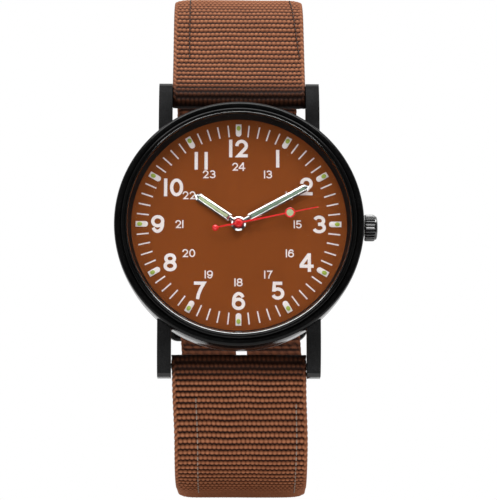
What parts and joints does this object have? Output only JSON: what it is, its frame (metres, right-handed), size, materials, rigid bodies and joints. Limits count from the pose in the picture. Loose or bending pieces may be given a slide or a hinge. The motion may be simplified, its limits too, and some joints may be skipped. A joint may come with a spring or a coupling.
{
  "type": "three-hand quartz field watch",
  "caption": "Analogue field watch buckled as on a wrist: round black case, brown dial with two rings of numbers, hands driven by a wheel train, fluted crown and brown webbing strap.",
  "frame": {"origin": "centre of the case back's outer face", "axes": "-Y is where the dial looks, +Z is twelve o'clock, +X is the crown's side; +Y goes into the wrist"},
  "size_m": [0.0427, 0.0567, 0.0875],
  "materials": {
    "case_steel": "semi-gloss black coating over steel",
    "bezel_steel": "gloss black coating over steel",
    "steel": "brushed stainless steel",
    "movement_steel": "plain steel",
    "brass": "gilt brass",
    "glass": "clear mineral glass",
    "seal": "black nitrile rubber",
    "dial_brown": "matt brown paint on brass",
    "flange_black": "matt black plastic",
    "marker_white": "off-white luminous paint",
    "lume_green": "pale green luminous paint",
    "hand_chrome": "polished chrome plate on brass",
    "hand_red": "red lacquer on aluminium",
    "ring_plastic": "off-white moulded plastic",
    "board_green": "green solder mask",
    "coil_copper": "enamelled copper wire",
    "webbing": "ribbed brown nylon webbing",
    "keeper_webbing": "ribbed brown nylon webbing"
  },
  "bodies": {
    "case": {"case_body": "case_steel", "case_back": "steel", "case_back_gasket": "seal", "bezel": "bezel_steel", "crystal": "glass", "crystal_gasket": "seal", "dial_flange": "flange_black", "dial": "dial_brown", "hour_marker_plates": "marker_white", "hour_marker_pips": "lume_green", "dial_washer": "brass", "main_plate": "brass", "train_bridge": "movement_steel", "battery": "movement_steel", "battery_clamp": "movement_steel", "stator": "movement_steel", "coil_core": "movement_steel", "coil": "coil_copper", "circuit_board": "board_green", "quartz_can": "movement_steel", "movement_ring": "ring_plastic", "crown_tube": "movement_steel", "strap_upper": "webbing", "strap_lower": "webbing", "keeper_fixed": "keeper_webbing", "spring_bar_tube_upper": "steel", "spring_bar_spring_upper": "movement_steel", "spring_bar_tube_lower": "steel", "spring_bar_spring_lower": "movement_steel"},
    "seconds": {"second_wheel": "brass", "second_hand": "hand_red", "second_hand_lume": "lume_green"},
    "minutes": {"centre_wheel": "brass", "cannon_pinion": "movement_steel", "minute_hand": "hand_chrome", "minute_hand_lume": "lume_green"},
    "hours": {"hour_wheel": "brass", "hour_hand": "hand_chrome", "hour_hand_lume": "lume_green"},
    "third_wheel": {"third_wheel": "brass"},
    "minute_wheel": {"minute_wheel": "brass"},
    "step_wheel": {"step_wheel": "brass"},
    "rotor": {"rotor": "movement_steel"},
    "stem_seal": {"crown_gasket": "seal"},
    "crown": {"crown": "case_steel", "winding_stem": "movement_steel", "setting_pinion": "movement_steel"},
    "setting_lever": {"setting_lever": "movement_steel"},
    "buckle_frame": {"buckle_frame": "bezel_steel", "buckle_pin": "steel"},
    "buckle_tongue": {"buckle_tongue": "bezel_steel"},
    "keeper_free": {"keeper_free": "keeper_webbing"},
    "spring_bar_tip_upper_left": {"spring_bar_tip_upper_left": "steel"},
    "spring_bar_tip_upper_right": {"spring_bar_tip_upper_right": "steel"},
    "spring_bar_tip_lower_left": {"spring_bar_tip_lower_left": "steel"},
    "spring_bar_tip_lower_right": {"spring_bar_tip_lower_right": "steel"}
  },
  "joints": [
    {"name": "seconds_turn", "type": "hinge", "parent": "case", "child": "seconds", "pos_m": [0, 0, 0], "axis": [0, 1, 0], "continuous": true},
    {"name": "minutes_turn", "type": "hinge", "parent": "case", "child": "minutes", "pos_m": [0, 0, 0], "axis": [0, 1, 0], "continuous": true},
    {"name": "hours_turn", "type": "hinge", "parent": "case", "child": "hours", "pos_m": [0, 0, 0], "axis": [0, 1, 0], "continuous": true},
    {"name": "third_wheel_turn", "type": "hinge", "parent": "case", "child": "third_wheel", "pos_m": [0.00198, 0, -0.00198], "axis": [0, 1, 0], "continuous": true},
    {"name": "minute_wheel_turn", "type": "hinge", "parent": "case", "child": "minute_wheel", "pos_m": [0.0026, 0, -0.0015], "axis": [0, 1, 0], "continuous": true},
    {"name": "step_wheel_turn", "type": "hinge", "parent": "case", "child": "step_wheel", "pos_m": [-0.00038, 0, 0.00213], "axis": [0, 1, 0], "continuous": true},
    {"name": "rotor_turn", "type": "hinge", "parent": "case", "child": "rotor", "pos_m": [0.00017, 0, 0.00416], "axis": [0, 1, 0], "continuous": true},
    {"name": "crown_pull", "type": "slide", "parent": "case", "child": "stem_seal", "axis": [1, 0, 0], "range_m": [0, 0.001]},
    {"name": "crown_turn", "type": "hinge", "parent": "stem_seal", "child": "crown", "pos_m": [0.0203, -0.0036, 0], "axis": [1, 0, 0], "continuous": true},
    {"name": "lever_swing", "type": "hinge", "parent": "case", "child": "setting_lever", "pos_m": [0.0094, -0.0042, -0.0024], "axis": [0, 1, 0], "range_deg": [0, 23.6]},
    {"name": "buckle_frame_hinge", "type": "hinge", "parent": "case", "child": "buckle_frame", "pos_m": [0, 0.0412, 0.002], "axis": [1, 0, 0], "range_deg": [0, 7]},
    {"name": "buckle_tongue_hinge", "type": "hinge", "parent": "buckle_frame", "child": "buckle_tongue", "pos_m": [0, 0.0412, 0.002], "axis": [1, 0, 0], "range_deg": [0, 5]},
    {"name": "keeper_slide", "type": "slide", "parent": "case", "child": "keeper_free", "axis": [0, 0, 1], "range_m": [-0.0015, 0.0025]},
    {"name": "spring_bar_tip_upper_left_press", "type": "slide", "parent": "case", "child": "spring_bar_tip_upper_left", "axis": [1, 0, 0], "range_m": [0, 0.0013], "stiffness_N_per_m": 400, "springref_m": -0.0005, "deforming": ["spring_bar_spring_upper"]},
    {"name": "spring_bar_tip_upper_right_press", "type": "slide", "parent": "case", "child": "spring_bar_tip_upper_right", "axis": [-1, 0, 0], "range_m": [0, 0.0013], "stiffness_N_per_m": 400, "springref_m": -0.0005, "deforming": ["spring_bar_spring_upper"]},
    {"name": "spring_bar_tip_lower_left_press", "type": "slide", "parent": "case", "child": "spring_bar_tip_lower_left", "axis": [1, 0, 0], "range_m": [0, 0.0013], "stiffness_N_per_m": 400, "springref_m": -0.0005, "deforming": ["spring_bar_spring_lower"]},
    {"name": "spring_bar_tip_lower_right_press", "type": "slide", "parent": "case", "child": "spring_bar_tip_lower_right", "axis": [-1, 0, 0], "range_m": [0, 0.0013], "stiffness_N_per_m": 400, "springref_m": -0.0005, "deforming": ["spring_bar_spring_lower"]}
  ],
  "couplings": [
    {"joint": "minutes_turn", "follows": "seconds_turn", "ratio": 0.016667},
    {"joint": "hours_turn", "follows": "seconds_turn", "ratio": 0.0013889},
    {"joint": "minute_wheel_turn", "follows": "seconds_turn", "ratio": -0.0055556},
    {"joint": "third_wheel_turn", "follows": "seconds_turn", "ratio": -0.13333},
    {"joint": "step_wheel_turn", "follows": "seconds_turn", "ratio": -5},
    {"joint": "rotor_turn", "follows": "seconds_turn", "ratio": 30},
    {"joint": "lever_swing", "follows": "crown_pull", "rad_per_m": 410.85}
  ]
}
